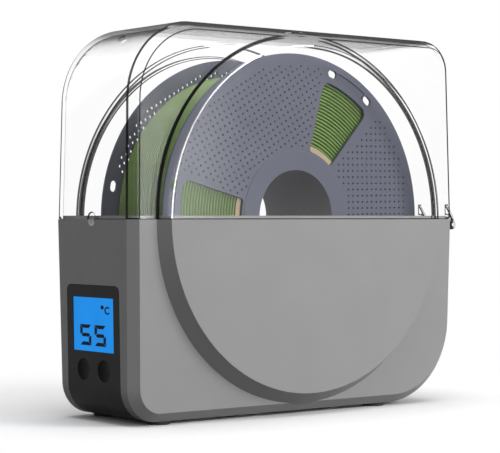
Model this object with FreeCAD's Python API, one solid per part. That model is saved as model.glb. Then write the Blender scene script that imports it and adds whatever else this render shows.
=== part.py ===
import FreeCAD, Part
import math
import os

from FreeCAD import Placement, Rotation, Vector

# Filament dryer box for one spool: an opaque base tub, a hinged clear cover, a heated
# cradle with two rollers, a display panel on one end, and the spool that lies in it.
# Millimetres. X runs from the display end to the hinge end, Y across the width, Z up.
# The case is sized from the spool outwards. Places are worked out about the middle of
# the case, and save() moves every piece so that the origin lies under the middle of
# the whole box, on the floor.

# Spool and filament
spool_radius = 100.0
spool_width = 65.6
spool_above_seam = 1.5
flange_thickness = 2.0
flange_step = 0.3            # plate below the plain ring round the hub
hub_radius = 28.7
hub_wall = 2.5
core_radius = 45.6
core_wall = 3.4
core_fit = 0.05
spigot_wall = 2.4
spigot_height = 4.0
hub_land = 12.0              # plain ring of the flange, round the hub
window_turns_deg = (61.6, 178.5, 300.0)   # as the spool happens to be turned
window_over_core = 3.8       # how much of the core a window shows
window_under_winding = 2.0   # how much of the winding the flange hides beyond a window
window_half_deg = 13.3
window_outer_corner = 5.0
window_inner_corner = 2.0
clip_from_rim = 6.5
clip_offset_deg = 10.0
clip_length = 7.0
clip_height = 4.6
clip_channel_depth = 0.6
clip_channel_width = 2.6
filament_from_rim = 10.7
filament_side_gap = 0.5
strand_diameter = 1.75
strand_gap = 0.66
strand_lift = 0.1

# Rollers
roller_radius = 8.0
roller_width = 5.4
roller_overhang = 0.45       # wheel beyond the spool's outer face
roller_angle = 30.0
roller_gap = 0.2
roller_edge = 0.8
shaft_radius = 2.5
shaft_running = 0.05
bearing_radius = 5.0
bearing_width = 2.5
bearing_race = 0.9
bearing_groove = 0.4

# Cradle and heater
tray_floor = 2.0
tray_clearance = 0.6
tray_end_room = 8.9
rail_inside = 2.0            # rail reaches this far inside the rib
beam_length = 12.0
beam_height = 6.0
beam_notch_width = 4.0
beam_notch_height = 3.4
post_gap = 0.5
post_thickness = 2.8
post_half_length = 9.0
post_cap = 3.5
rib_thickness = 2.0
rib_from_notch = 0.65
rib_end_room = 4.9
heater_clearance = 0.9       # between roller shaft and heater plate
heater_thickness = 1.2
heater_half_deg = 61.0
heater_edge_gap = 0.4
heater_notch_clearance = 1.2
film_thickness = 0.4
film_bond = 0.15             # adhesive between plate and film
film_half_deg = 36.0
film_from_rib = 3.0
under_heater = 2.25          # space for the lead on the floor
sensor_length = 9.0
sensor_width = 5.0
sensor_height = 3.0
boss_radius = 3.2
boss_height = 5.0
boss_x = 30.0

# Case
end_room = 25.25             # between the spool and each end wall
cover_headroom = 12.1        # between the spool and the cover's top
draft_deg = 1.05             # every side leans in, away from the seam
edge_chamfer = 5.3
base_wall = 2.5
cover_wall = 2.4
base_display_corner = 20.0
base_hinge_corner = 51.0
cover_display_corner = 48.0
cover_hinge_corner = 20.0

# Round bulge on each broad side, half in the base and half in the cover
bulge_room = 5.2             # its flat face beyond the spool's rim
bulge_proud = 7.4
bulge_flare = 5.2

# Lip of the base that stands inside the cover
lip_height = 2.2
lip_thickness = 1.6
lip_clearance = 0.3
lip_root = 4.0

# Feet
foot_height = 2.0
foot_radius = 7.0
foot_edge = 0.5
foot_from_panel = 3.0
foot_from_corner = 2.3
foot_from_middle = 28.0

# Filament ways out
port_radius = 3.85
outlet_radius = 2.1
outlet_angle = 53.5          # above level, on the cover's rounded display corner

# Hinge
hinge_out = 4.35             # axis beyond the end wall
hinge_below_seam = 3.6
knuckle_radius = 3.2
pin_radius = 1.25
pin_running = 0.06
pin_seat = 0.01
pin_overhang = 0.8
ear_thickness = 2.2
ear_inner_y = 7.7
ear_outer_y = 33.0
ear_root_low = 3.8
ear_root_high = 10.4
ear_outer_bow = 0.9
ear_inner_bow = 0.6
lug_thickness = 4.0
lug_gap = 0.3

# Display end; heights are below the seam, depths into the box
panel_border = 6.55
panel_above_screen = 7.4
panel_thickness = 1.5
panel_wrap = 18.0            # how far it runs in under the base
panel_corner = 4.0
panel_fit = 0.1
screen_width = 42.4
screen_height = 31.4
screen_top = 45.7
screen_fit = 0.1
screen_inset = 0.3
screen_glass = 1.2
module_border = 2.2
module_depth = 5.0
board_thickness = 1.6
board_margin = 6.6           # round the screen module and the buttons
button_radius = 6.3
button_fit = 0.15
button_spacing = 21.6
button_below_screen = 10.9
button_inset = 0.1
button_dish = 0.5
button_flange = 0.9
button_flange_height = 0.9
button_rest_gap = 0.05
button_travel = 0.8
plunger_radius = 2.2
plunger_length = 0.6
switch_side = 6.2
switch_stem_radius = 1.75
switch_stem = 0.6
switch_gap = 0.1             # left between plunger and stem at full travel
standoff_radius = 2.6
standoff_inset = 3.2
cap_depth = 14.0
cap_wall = 1.6
cap_margin = 2.9             # round the board
cap_edge = 0.8

# Power socket on the hinge end
socket_below_seam = 45.0
socket_radius = 5.4
socket_fit = 0.1
socket_rim_radius = 7.0
socket_rim = 1.6
socket_length = 12.0
socket_bore = 3.0
socket_depth = 9.5
socket_pin_radius = 1.0
socket_pin_short = 0.5
nut_flats = 14.0
nut_height = 3.0

# Leads inside the base
lead_diameter = 2.0
lead_clearance = 0.1
lead_straight = 8.5          # straight out of the socket and the cap
power_lead_enters = 75.0     # below the seam, at the electronics cap
power_lead_bends = (8, 25, 25, 13, 7)
power_lead_slope = (104, 36) # along X and up, where it leaves the hinge end
power_lead_floor = (78, -96) # along X, where it meets and leaves the floor
heater_lead_enters = 60.0
heater_lead_y = 10.0
heater_lead_bends = (30, 8)
heater_lead_overlap_deg = 3.0
heater_lead_run = 16.0

# Screws
screw_radius = 1.25
screw_head_radius = 2.5
screw_head = 1.6
screw_well = 1.2
screw_fit = 0.02
screw_head_fit = 0.1

# Sizes that follow from the ones above
draft = math.radians(draft_deg)
lean = math.tan(draft)
roller_reach = spool_radius + roller_radius + roller_gap
heater_radius = roller_reach + shaft_radius + heater_clearance
plate_under = heater_radius + heater_thickness
film_radius = plate_under + film_bond
base_height = film_radius + film_thickness + under_heater + base_wall - spool_above_seam
cover_height = spool_above_seam + spool_radius + cover_headroom + cover_wall
seam = foot_height + base_height
spool_z = seam + spool_above_seam
floor_z = foot_height + base_wall
tray_top = floor_z + tray_floor
wheel_outer = spool_width / 2 + roller_overhang
wheel_inner = wheel_outer - roller_width
post_inner = wheel_outer + post_gap
post_outer = post_inner + post_thickness
half_width = post_outer + tray_clearance + base_wall + (seam - tray_top) * lean
half_length = spool_radius + end_room + base_wall
hinge_x = half_length + hinge_out
hinge_z = seam - hinge_below_seam
middle_x = (hinge_out + knuckle_radius) / 2
far = 4 * half_length        # well outside the box
roller_x = roller_reach * math.sin(math.radians(roller_angle))
roller_z = spool_z - roller_reach * math.cos(math.radians(roller_angle))
notch_y = wheel_inner - heater_notch_clearance
rib_y = notch_y - rib_from_notch - rib_thickness / 2
rail_y = rib_y - rib_thickness / 2 - rail_inside
tray_end = roller_x + post_half_length + tray_end_room
rib_reach = roller_x + post_half_length + rib_end_room
boss_y = (rib_y + rib_thickness / 2 + post_inner) / 2
bulge_radius = spool_radius + bulge_room
screen_middle = -screen_top - screen_height / 2
button_z = -screen_top - screen_height - button_below_screen
panel_top = screen_top - panel_above_screen
panel_half_width = screen_width / 2 + panel_border
board_half_width = screen_width / 2 + module_border + board_margin
board_top = module_border - screen_top + board_margin / 2
board_bottom = button_z - board_margin
board_front = base_wall + module_depth
board_back = board_front + board_thickness
flange_inner = spool_width / 2 - flange_thickness
filament_radius = spool_radius - filament_from_rim
filament_half = flange_inner - filament_side_gap
layers_radius = filament_radius - strand_diameter - strand_lift
strand_pitch = strand_diameter + strand_gap
strand_turns = int((2 * filament_half - strand_diameter) / strand_pitch)
clip_radius = spool_radius - clip_from_rim


def save(name, shape):
    """Move a finished piece to the part's own origin and write it."""
    placed = shape.copy()
    placed.translate(Vector(-middle_x, 0, 0))
    placed.exportStep("parts/" + name + ".step")


def box(x0, x1, y0, y1, z0, z1):
    return Part.makeBox(x1 - x0, y1 - y0, z1 - z0, Vector(x0, y0, z0))


def cylinder_x(radius, x0, x1, y, z):
    return Part.makeCylinder(radius, x1 - x0, Vector(x0, y, z), Vector(1, 0, 0))


def cylinder_y(radius, y0, y1, x, z):
    return Part.makeCylinder(radius, y1 - y0, Vector(x, y0, z), Vector(0, 1, 0))


def cylinder_z(radius, z0, z1, x, y):
    return Part.makeCylinder(radius, z1 - z0, Vector(x, y, z0), Vector(0, 0, 1))


def ring_y(inner, outer, y0, y1, x, z):
    return cylinder_y(outer, y0, y1, x, z).cut(cylinder_y(inner, y0, y1, x, z))


def joined(shapes):
    """One solid from pieces that overlap or share faces."""
    return shapes[0].fuse(shapes[1:]).removeSplitter()


def mirrored(shape):
    """The same piece on the other side of the middle of the width."""
    return shape.mirror(Vector(0, 0, 0), Vector(0, 1, 0))


def other_end(shape):
    """The same piece on the other side of the middle of the length."""
    return shape.mirror(Vector(0, 0, 0), Vector(1, 0, 0))


def pair(shape):
    return Part.makeCompound([shape, mirrored(shape)])


# Case halves

def case_wire(up, inset, side, y_inset, edge):
    """Outline of one half of the case on a leaning plane across Y."""
    long_half = half_length - inset - edge
    height = (cover_height if up else base_height) - inset - edge
    if up:
        display_corner, hinge_corner = cover_display_corner, cover_hinge_corner
    else:
        display_corner, hinge_corner = base_display_corner, base_hinge_corner
    rise = 1 if up else -1

    def at(u, v):
        return Vector(u, side * (half_width - inset - y_inset - v * lean), seam + rise * v)

    def corner(end, radius):
        """Where the rounded corner leaves the end wall, its middle, and where it meets the top."""
        tip_u = end * (long_half - height * lean)
        slope = math.hypot(height, height * lean)
        back_u, back_v = end * height * lean / slope, -height / slope
        half_angle = math.acos(-end * back_u) / 2
        reach = radius / math.tan(half_angle)
        aim_u, aim_v = back_u - end, back_v
        depth = (radius / math.sin(half_angle) - radius) / math.hypot(aim_u, aim_v)
        return (
            at(tip_u + back_u * reach, height + back_v * reach),
            at(tip_u + aim_u * depth, height + aim_v * depth),
            at(tip_u - end * reach, height))

    d_end, d_middle, d_top = corner(-1, display_corner - inset - edge)
    h_end, h_middle, h_top = corner(1, hinge_corner - inset - edge)
    start, finish = at(-long_half, 0), at(long_half, 0)
    return Part.Wire([
        Part.LineSegment(start, d_end).toShape(),
        Part.Arc(d_end, d_middle, d_top).toShape(),
        Part.LineSegment(d_top, h_top).toShape(),
        Part.Arc(h_top, h_middle, h_end).toShape(),
        Part.LineSegment(h_end, finish).toShape(),
        Part.LineSegment(finish, start).toShape(),
    ])


def bulge(up, inset):
    """Half of the flared disc on the front broad side, drawn in by inset."""
    slope = bulge_flare / bulge_proud
    front = half_width + bulge_proud - inset
    front_radius = bulge_radius + inset * (slope - math.hypot(1, slope))
    depth = bulge_proud + base_wall + base_height * lean
    cone = Part.makeCone(
        front_radius, front_radius + slope * depth, depth,
        Vector(0, -front, seam), Vector(0, 1, 0))
    low, high = (seam, seam + far) if up else (seam - far, seam)
    return cone.common(box(-far, far, -far, far, low, high))


def case_half(up, inset):
    """Closed block of the base or the cover, with its bulges, drawn in by inset."""
    edge = edge_chamfer - inset * (2 - math.sqrt(2))
    wires = [
        case_wire(up, inset, -1, 0, edge),
        case_wire(up, inset, -1, edge, 0),
        case_wire(up, inset, 1, edge, 0),
        case_wire(up, inset, 1, 0, edge),
    ]
    front = Part.makeLoft(wires, True, True).common(box(-far, far, -far, 0, -far, far))
    front = front.fuse(bulge(up, inset))
    return joined([front, mirrored(front)])


# Frames on the two end walls: x goes into the box, z up the wall from the seam

display_frame = Placement(Vector(-half_length, 0, seam), Rotation(Vector(0, 1, 0), -draft_deg))
hinge_frame = Placement(
    Vector(half_length, 0, seam),
    Rotation(Vector(0, 1, 0), draft_deg).multiply(Rotation(Vector(0, 0, 1), 180)))


def placed_in(frame, shape):
    placed = shape.copy()
    placed.Placement = frame.multiply(shape.Placement)
    return placed


def on_display_end(shape):
    return placed_in(display_frame, shape)


def on_hinge_end(shape):
    return placed_in(hinge_frame, shape)


def port_cutter():
    """Round way out for the filament, half above and half below the seam."""
    inside = base_wall + lip_clearance + lip_thickness
    return cylinder_x(port_radius, -half_length - base_wall, -half_length + 2 * inside, 0, seam)


# Hinge

def ear(y_middle):
    """Goose-neck ear of the cover that reaches out and down to the hinge pin."""
    root = half_length - cover_wall / 2
    y0 = y_middle - ear_thickness / 2
    y1 = y_middle + ear_thickness / 2
    top = Vector(root, y0, seam + ear_root_high)
    low = Vector(root, y0, seam + ear_root_low)
    outer_end = Vector(hinge_x + knuckle_radius, y0, hinge_z)
    inner_end = Vector(hinge_x, y0, hinge_z + knuckle_radius)

    def bowed(a, b, bow):
        """Point beside the middle of a chord, on its outer side."""
        chord = b - a
        return (a + b) * 0.5 + Vector(-chord.z, 0, chord.x).normalize() * bow

    outline = Part.Wire([
        Part.LineSegment(low, top).toShape(),
        Part.Arc(top, bowed(top, outer_end, ear_outer_bow), outer_end).toShape(),
        Part.LineSegment(outer_end, inner_end).toShape(),
        Part.Arc(inner_end, bowed(low, inner_end, ear_inner_bow), low).toShape(),
    ])
    neck = Part.Face(outline).extrude(Vector(0, ear_thickness, 0))
    solid = joined([neck, cylinder_y(knuckle_radius, y0, y1, hinge_x, hinge_z)])
    return solid.cut(cylinder_y(pin_radius + pin_running, y0, y1, hinge_x, hinge_z))


def lug(y0):
    """Knuckle of the base beside an ear, with its web back to the end wall."""
    y1 = y0 + lug_thickness
    root = half_length - base_wall / 2
    lug_radius = knuckle_radius - lug_gap
    knuckle = cylinder_y(lug_radius, y0, y1, hinge_x, hinge_z)
    web = box(root, hinge_x, y0, y1, hinge_z - lug_radius, hinge_z + lug_radius / 2)
    bore = cylinder_y(pin_radius + pin_seat, y0, y1, hinge_x, hinge_z)
    return joined([knuckle, web]).cut(bore)


def lugs():
    inner = ear_inner_y + ear_thickness / 2 + lug_gap
    outer = ear_outer_y - ear_thickness / 2 - lug_gap - lug_thickness
    found = []
    for y0 in (inner, outer):
        found += [lug(y0), mirrored(lug(y0))]
    return found


def hinge_pin():
    y0 = ear_inner_y - ear_thickness / 2 - pin_overhang
    y1 = ear_outer_y + ear_thickness / 2 + pin_overhang
    return cylinder_y(pin_radius, y0, y1, hinge_x, hinge_z)


# Display end pieces, drawn in the frame of that wall

def button_places():
    return [button_spacing / 2, -button_spacing / 2]


def standoff_places():
    y = board_half_width - standoff_inset
    return [(side * y, z) for side in (1, -1)
            for z in (board_top - standoff_inset, board_bottom + standoff_inset)]


def screen_block(grow, x0, x1):
    half_y = screen_width / 2 + grow
    half_z = screen_height / 2 + grow
    return box(x0, x1, -half_y, half_y, screen_middle - half_z, screen_middle + half_z)


def panel_region(grow, depth):
    """Space of the panel: a skin of the base, rounded at its upper corners."""
    skin = case_half(False, 0).cut(case_half(False, depth))
    half = panel_half_width + grow
    top = seam - panel_top + grow
    zone = box(-half_length - 1, -half_length + panel_wrap + grow, -half, half, 0, top)
    corners = [e for e in zone.Edges if abs(e.CenterOfMass.z - top) < 1e-6
               and abs(abs(e.CenterOfMass.y) - half) < 1e-6]
    return skin.common(zone.makeFillet(panel_corner + grow, corners))


def display_cutouts():
    """Screen and button openings, right through the wall."""
    through = 2 * base_wall
    cuts = [screen_block(screen_fit, -base_wall, through)]
    for y in button_places():
        cuts.append(cylinder_x(button_radius + button_fit, -base_wall, through, y, button_z))
    return [on_display_end(cut) for cut in cuts]


def control_panel():
    return panel_region(0, panel_thickness).cut(display_cutouts())


def screen_window():
    return on_display_end(screen_block(0, screen_inset, screen_inset + screen_glass))


def screen_module():
    face = screen_block(-screen_fit, screen_inset + screen_glass, base_wall)
    body = screen_block(module_border, base_wall, board_front)
    return on_display_end(joined([face, body]))


def control_board():
    board = box(board_front, board_back, -board_half_width, board_half_width, board_bottom, board_top)
    for y, z in standoff_places():
        board = board.cut(cylinder_x(screw_radius + screw_fit, board_front, board_back, y, z))
    return on_display_end(board)


def button(y):
    """Dished cap with a flange behind the wall and a plunger for its switch."""
    flange_front = base_wall + button_rest_gap
    flange_back = flange_front + button_flange_height
    cap = cylinder_x(button_radius, button_inset, flange_front, y, button_z)
    flange = cylinder_x(button_radius + button_flange, flange_front, flange_back, y, button_z)
    plunger = cylinder_x(plunger_radius, flange_back, flange_back + plunger_length, y, button_z)
    ball_radius = (button_radius ** 2 + button_dish ** 2) / (2 * button_dish)
    dish = Part.makeSphere(ball_radius, Vector(button_inset + button_dish - ball_radius, y, button_z))
    return on_display_end(joined([cap, flange, plunger]).cut(dish))


def button_switches():
    """A push switch on the board behind each button, clear of it at full travel."""
    plunger_tip = base_wall + button_rest_gap + button_flange_height + plunger_length
    stem_tip = plunger_tip + button_travel + switch_gap
    half = switch_side / 2
    found = []
    for y in button_places():
        body = box(
            stem_tip + switch_stem, board_front, y - half, y + half, button_z - half, button_z + half)
        stem = cylinder_x(switch_stem_radius, stem_tip, stem_tip + switch_stem, y, button_z)
        found.append(on_display_end(joined([body, stem])))
    return Part.makeCompound(found)


def screw(length):
    """Pan-head screw along +X with its head below x = 0."""
    head = cylinder_x(screw_head_radius, -screw_head, 0, 0, 0)
    return joined([head, cylinder_x(screw_radius, 0, length, 0, 0)])


def board_screws():
    found = []
    for y, z in standoff_places():
        piece = screw(board_back - base_wall)
        piece.rotate(Vector(0, 0, 0), Vector(0, 0, 1), 180)
        piece.translate(Vector(board_back, y, z))
        found.append(on_display_end(piece))
    return Part.makeCompound(found)


def electronics_cap():
    """Open box over the board that keeps the warm chamber off the electronics."""
    back = base_wall + cap_depth
    half = board_half_width + cap_margin
    low, high = board_bottom - cap_margin, board_top + cap_margin
    outer = box(0, back, -half, half, low, high)
    rim = [e for e in outer.Edges if abs(e.CenterOfMass.x - back) < 1e-6]
    inner = box(0, back - cap_wall, cap_wall - half, half - cap_wall, low + cap_wall, high - cap_wall)
    shell = on_display_end(outer.makeChamfer(cap_edge, rim).cut(inner))
    return shell.common(case_half(False, base_wall))


# Base shell

def standoffs():
    """Posts for the board on the wall behind the panel."""
    root = (panel_thickness + base_wall) / 2
    return [on_display_end(cylinder_x(standoff_radius, root, board_front, y, z))
            for y, z in standoff_places()]


def standoff_holes():
    return [on_display_end(cylinder_x(screw_radius + screw_fit, base_wall, board_front, y, z))
            for y, z in standoff_places()]


def boss_places():
    return [(x, y) for x in (-boss_x, boss_x) for y in (-boss_y, boss_y)]


def foot_places():
    display_x = panel_wrap + foot_radius + foot_from_panel - half_length
    hinge_end_x = half_length - base_hinge_corner - foot_radius - foot_from_corner
    return [(x, y) for x in (display_x, hinge_end_x) for y in (-foot_from_middle, foot_from_middle)]


def slab(low, high):
    return box(-far, far, -far, far, low, high)


def rim_lip():
    """Band inside the top of the base wall and the lip that stands up into the cover."""
    inner = max(base_wall, cover_wall) + lip_clearance + lip_thickness
    band = case_half(False, base_wall / 2).cut(case_half(False, inner))
    lip = case_half(True, cover_wall + lip_clearance).cut(case_half(True, inner))
    return [band.common(slab(seam - lip_root, seam)), lip.common(slab(seam, seam + lip_height))]


def socket_hole():
    return on_hinge_end(cylinder_x(
        socket_radius + socket_fit, -base_wall, 2 * base_wall, 0, -socket_below_seam))


def screw_wells():
    """Holes for the tray screws, sunk for their heads."""
    found = []
    for x, y in boss_places():
        found.append(cylinder_z(screw_radius + screw_fit, 0, floor_z, x, y))
        found.append(cylinder_z(screw_head_radius + screw_head_fit, 0, foot_height + screw_well, x, y))
    return found


def base_shell():
    shell = case_half(False, 0).cut(case_half(False, base_wall))
    shell = joined([shell] + rim_lip())
    shell = joined([shell] + standoffs() + lugs())
    cuts = [panel_region(panel_fit, panel_thickness), port_cutter(), socket_hole()]
    return shell.cut(cuts + display_cutouts() + standoff_holes() + screw_wells())


def foot(x, y):
    pad = cylinder_z(foot_radius, 0, foot_height, x, y)
    rim = [e for e in pad.Edges if abs(e.CenterOfMass.z) < 1e-6]
    return pad.makeChamfer(foot_edge, rim)


# Clear cover

def outlet_frame():
    """Middle of the small hole on the rounded corner and the way out of it."""
    centre = Vector(
        cover_height * lean - half_length + cover_display_corner, 0,
        seam + cover_height - cover_display_corner)
    angle = math.radians(outlet_angle)
    way = Vector(-math.cos(angle), 0, math.sin(angle))
    return centre + way * cover_display_corner, way


def clear_cover():
    shell = case_half(True, 0).cut(case_half(True, cover_wall))
    ears = []
    for y in (ear_inner_y, ear_outer_y):
        ears += [ear(y), mirrored(ear(y))]
    point, way = outlet_frame()
    hole = Part.makeCylinder(outlet_radius, 4 * cover_wall, point - way * 2 * cover_wall, way)
    return joined([shell] + ears).cut([hole, port_cutter()])


# Power socket on the hinge end

def power_socket():
    z = -socket_below_seam
    body = joined([
        cylinder_x(socket_rim_radius, -socket_rim, 0, 0, z),
        cylinder_x(socket_radius, 0, socket_length, 0, z)])
    body = body.cut(cylinder_x(socket_bore, -socket_rim, socket_depth, 0, z))
    pin = cylinder_x(socket_pin_radius, socket_pin_short - socket_rim, socket_depth, 0, z)
    return on_hinge_end(joined([body, pin]))


def socket_nut():
    z = -socket_below_seam
    across = nut_flats / math.sqrt(3)
    points = []
    for k in range(7):
        turn = math.radians(60 * k)
        points.append(Vector(base_wall, across * math.cos(turn), z + across * math.sin(turn)))
    prism = Part.Face(Part.makePolygon(points)).extrude(Vector(nut_height, 0, 0))
    return on_hinge_end(prism.cut(cylinder_x(socket_radius, 0, socket_length, 0, z)))


# Cradle, heater and rollers

def arc_band(inner, outer, half_deg, half_y):
    """Curved sheet about the spool's axis, open upwards."""
    def at(radius, angle):
        turn = math.radians(angle)
        return Vector(radius * math.sin(turn), -half_y, spool_z - radius * math.cos(turn))

    outline = Part.Wire([
        Part.Arc(at(inner, -half_deg), at(inner, 0), at(inner, half_deg)).toShape(),
        Part.LineSegment(at(inner, half_deg), at(outer, half_deg)).toShape(),
        Part.Arc(at(outer, half_deg), at(outer, 0), at(outer, -half_deg)).toShape(),
        Part.LineSegment(at(outer, -half_deg), at(inner, -half_deg)).toShape(),
    ])
    return Part.Face(outline).extrude(Vector(0, 2 * half_y, 0))


def heater_plate():
    """Curved metal sheet under the spool, notched for the four wheels."""
    plate = arc_band(heater_radius, plate_under, heater_half_deg, post_inner - heater_edge_gap)
    notch = cylinder_y(roller_radius + heater_notch_clearance, notch_y, far, roller_x, roller_z)
    notches = [notch, mirrored(notch), other_end(notch), other_end(mirrored(notch))]
    return plate.cut(notches)


def heater_film():
    half = rib_y - rib_thickness / 2 - film_from_rib
    return arc_band(film_radius, film_radius + film_thickness, film_half_deg, half)


def temperature_sensor():
    block = box(
        -sensor_length / 2, sensor_length / 2, -sensor_width / 2, sensor_width / 2,
        spool_z - plate_under, spool_z - heater_radius + sensor_height)
    return block.common(cylinder_y(heater_radius, -sensor_width, sensor_width, 0, spool_z))


def cradle_rib():
    """Upright rib whose top follows the heater plate."""
    y0 = rib_y - rib_thickness / 2
    y1 = rib_y + rib_thickness / 2
    high = spool_z - math.sqrt(plate_under ** 2 - rib_reach ** 2)
    rib = box(-rib_reach, rib_reach, y0, y1, floor_z, high)
    return rib.cut(cylinder_y(plate_under, y0, y1, 0, spool_z))


def roller_post():
    """Upright of the tray that holds a roller bearing."""
    plate = box(
        roller_x - post_half_length, roller_x + post_half_length, post_inner, post_outer, floor_z, roller_z)
    head = cylinder_y(bearing_radius + post_cap, post_inner, post_outer, roller_x, roller_z)
    bore = cylinder_y(bearing_radius, post_inner, post_outer, roller_x, roller_z)
    return joined([plate, head]).cut(bore)


def cross_beam():
    """Beam that ties the two rails, arched over the lead on the floor."""
    beam = box(tray_end - beam_length, tray_end, -rib_y, rib_y, floor_z, floor_z + beam_height)
    half = beam_notch_width / 2
    return beam.cut(box(0, far, -half, half, floor_z, floor_z + beam_notch_height))


def inner_tray():
    """Ladder frame on the floor of the base: rails, beams, ribs, posts and screw bosses."""
    side = [box(-tray_end, tray_end, rail_y, post_outer, floor_z, tray_top), cradle_rib()]
    side += [roller_post(), other_end(roller_post())]
    for x in (-boss_x, boss_x):
        side.append(cylinder_z(boss_radius, floor_z, floor_z + boss_height, x, boss_y))
    pieces = side + [mirrored(piece) for piece in side] + [cross_beam(), other_end(cross_beam())]
    holes = [cylinder_z(screw_radius + screw_fit, floor_z, floor_z + boss_height, x, y)
             for x, y in boss_places()]
    return joined(pieces).cut(holes).common(case_half(False, base_wall))


def tray_screws():
    found = []
    for x, y in boss_places():
        piece = screw(base_wall - screw_well + boss_height)
        piece.rotate(Vector(0, 0, 0), Vector(0, 1, 0), -90)
        piece.translate(Vector(x, y, foot_height + screw_well))
        found.append(piece)
    return Part.makeCompound(found)


def roller_shaft():
    return cylinder_y(shaft_radius, -post_outer, post_outer, roller_x, roller_z)


def roller_wheels():
    wheel = ring_y(shaft_radius, roller_radius, wheel_inner, wheel_outer, roller_x, roller_z)
    rims = [e for e in wheel.Edges if abs(e.Length - 2 * math.pi * roller_radius) < 1e-3]
    return pair(wheel.makeFillet(roller_edge, rims))


def roller_bearings():
    """Ball bearings in the posts, each one ring with the gap between the races sunk."""
    ring = ring_y(
        shaft_radius + shaft_running, bearing_radius,
        post_inner, post_inner + bearing_width, roller_x, roller_z)
    groove = ring_y(
        shaft_radius + bearing_race, bearing_radius - bearing_race,
        post_inner, post_inner + bearing_groove, roller_x, roller_z)
    return pair(ring.cut(groove))


# Leads, each a tube along straight runs joined by arcs

def lead(points, radii):
    """Tube through the points, its inner corners rounded to the given radii."""
    edges = []
    start = points[0]
    for before, point, after, radius in zip(points, points[1:], points[2:], radii):
        back = (before - point).normalize()
        ahead = (after - point).normalize()
        half_angle = back.getAngle(ahead) / 2
        reach = radius / math.tan(half_angle)
        middle = point + (back + ahead).normalize() * (radius / math.sin(half_angle) - radius)
        edges.append(Part.LineSegment(start, point + back * reach).toShape())
        edges.append(Part.Arc(point + back * reach, middle, point + ahead * reach).toShape())
        start = point + ahead * reach
    edges.append(Part.LineSegment(start, points[-1]).toShape())
    path = Part.Wire(edges)
    circle = Part.Circle(points[0], points[1] - points[0], lead_diameter / 2).toShape()
    tube = path.makePipeShell([Part.Wire([circle])], True, False)
    section = math.pi * lead_diameter ** 2 / 4
    print("lead volume ratio", round(tube.Volume / (section * path.Length), 5), "radii", radii)
    return tube


def cap_entry(below_seam, y):
    """Point on the back of the electronics cap, and one straight out from it."""
    back = base_wall + cap_depth
    on_cap = display_frame.multVec(Vector(back, y, -below_seam))
    clear_of_cap = display_frame.multVec(Vector(back + lead_straight, y, -below_seam))
    return on_cap, clear_of_cap


def power_lead():
    """From the power socket down the hinge end, along the floor and up to the electronics."""
    floor_lead = floor_z + lead_diameter / 2 + lead_clearance
    start = hinge_frame.multVec(Vector(socket_length, 0, -socket_below_seam))
    turn_down = hinge_frame.multVec(Vector(socket_length + lead_straight, 0, -socket_below_seam))
    slope_x, slope_z = power_lead_slope
    meets_x, leaves_x = power_lead_floor
    end, before_end = cap_entry(power_lead_enters, 0)
    points = [
        start,
        turn_down,
        Vector(slope_x, 0, slope_z),
        Vector(meets_x, 0, floor_lead),
        Vector(leaves_x, 0, floor_lead),
        before_end,
        end,
    ]
    return lead(points, power_lead_bends)


def heater_lead():
    """From under the display end of the heater film to the electronics."""
    reach = film_radius + film_thickness + lead_clearance + lead_diameter / 2
    angle = math.radians(film_half_deg - heater_lead_overlap_deg)
    start = Vector(-reach * math.sin(angle), heater_lead_y, spool_z - reach * math.cos(angle))
    tangent = Vector(-math.cos(angle), 0, math.sin(angle))
    end, before_end = cap_entry(heater_lead_enters, heater_lead_y)
    return lead([start, start + tangent * heater_lead_run, before_end, end], heater_lead_bends)


# Spool

def spool_point(radius, angle_deg, y):
    turn = math.radians(angle_deg)
    return Vector(radius * math.cos(turn), y, spool_z + radius * math.sin(turn))


def turned(shape, angle_deg):
    """A cutter drawn on the X axis, turned about the spool's axis and put in its place."""
    placed = shape.copy()
    placed.rotate(Vector(0, 0, 0), Vector(0, 1, 0), -angle_deg)
    placed.translate(Vector(0, 0, spool_z))
    return placed


def window_cutter(turn, y0, y1):
    """Rounded sector that opens the flange beside the filament."""
    inner, outer = core_radius - window_over_core, filament_radius - window_under_winding
    low, high = turn - window_half_deg, turn + window_half_deg
    outline = Part.Wire([
        Part.LineSegment(spool_point(inner, low, y0), spool_point(outer, low, y0)).toShape(),
        Part.Arc(*[spool_point(outer, a, y0) for a in (low, turn, high)]).toShape(),
        Part.LineSegment(spool_point(outer, high, y0), spool_point(inner, high, y0)).toShape(),
        Part.Arc(*[spool_point(inner, a, y0) for a in (high, turn, low)]).toShape(),
    ])
    prism = Part.Face(outline).extrude(Vector(0, y1 - y0, 0))
    across = [e for e in prism.Edges if abs(e.CenterOfMass.y - (y0 + y1) / 2) < 1e-6]
    middle = spool_point(0, 0, (y0 + y1) / 2)
    far = [e for e in across if (e.CenterOfMass - middle).Length > (inner + outer) / 2]
    near = [e for e in across if (e.CenterOfMass - middle).Length < (inner + outer) / 2]
    rounded = prism.makeFillet(window_outer_corner, far)
    return rounded.common(prism.makeFillet(window_inner_corner, near))


def clip_cutter(turn, y0, y1):
    """Round-ended slot through the rim for tucking in the filament's end."""
    half = (clip_length - clip_height) / 2
    pieces = [box(clip_radius - clip_height / 2, clip_radius + clip_height / 2, y0, y1, -half, half)]
    for z in (-half, half):
        pieces.append(cylinder_y(clip_height / 2, y0, y1, clip_radius, z))
    return turned(joined(pieces), turn)


def clip_channel(turn, y0, y1):
    """Shallow groove in the outer face that joins a pair of slots."""
    ring = ring_y(clip_radius - clip_channel_width / 2, clip_radius + clip_channel_width / 2, y0, y1, 0, 0)
    half = clip_radius * math.sin(math.radians(clip_offset_deg))
    return turned(ring.common(box(0, spool_radius, y0, y1, -half, half)), turn)


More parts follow.
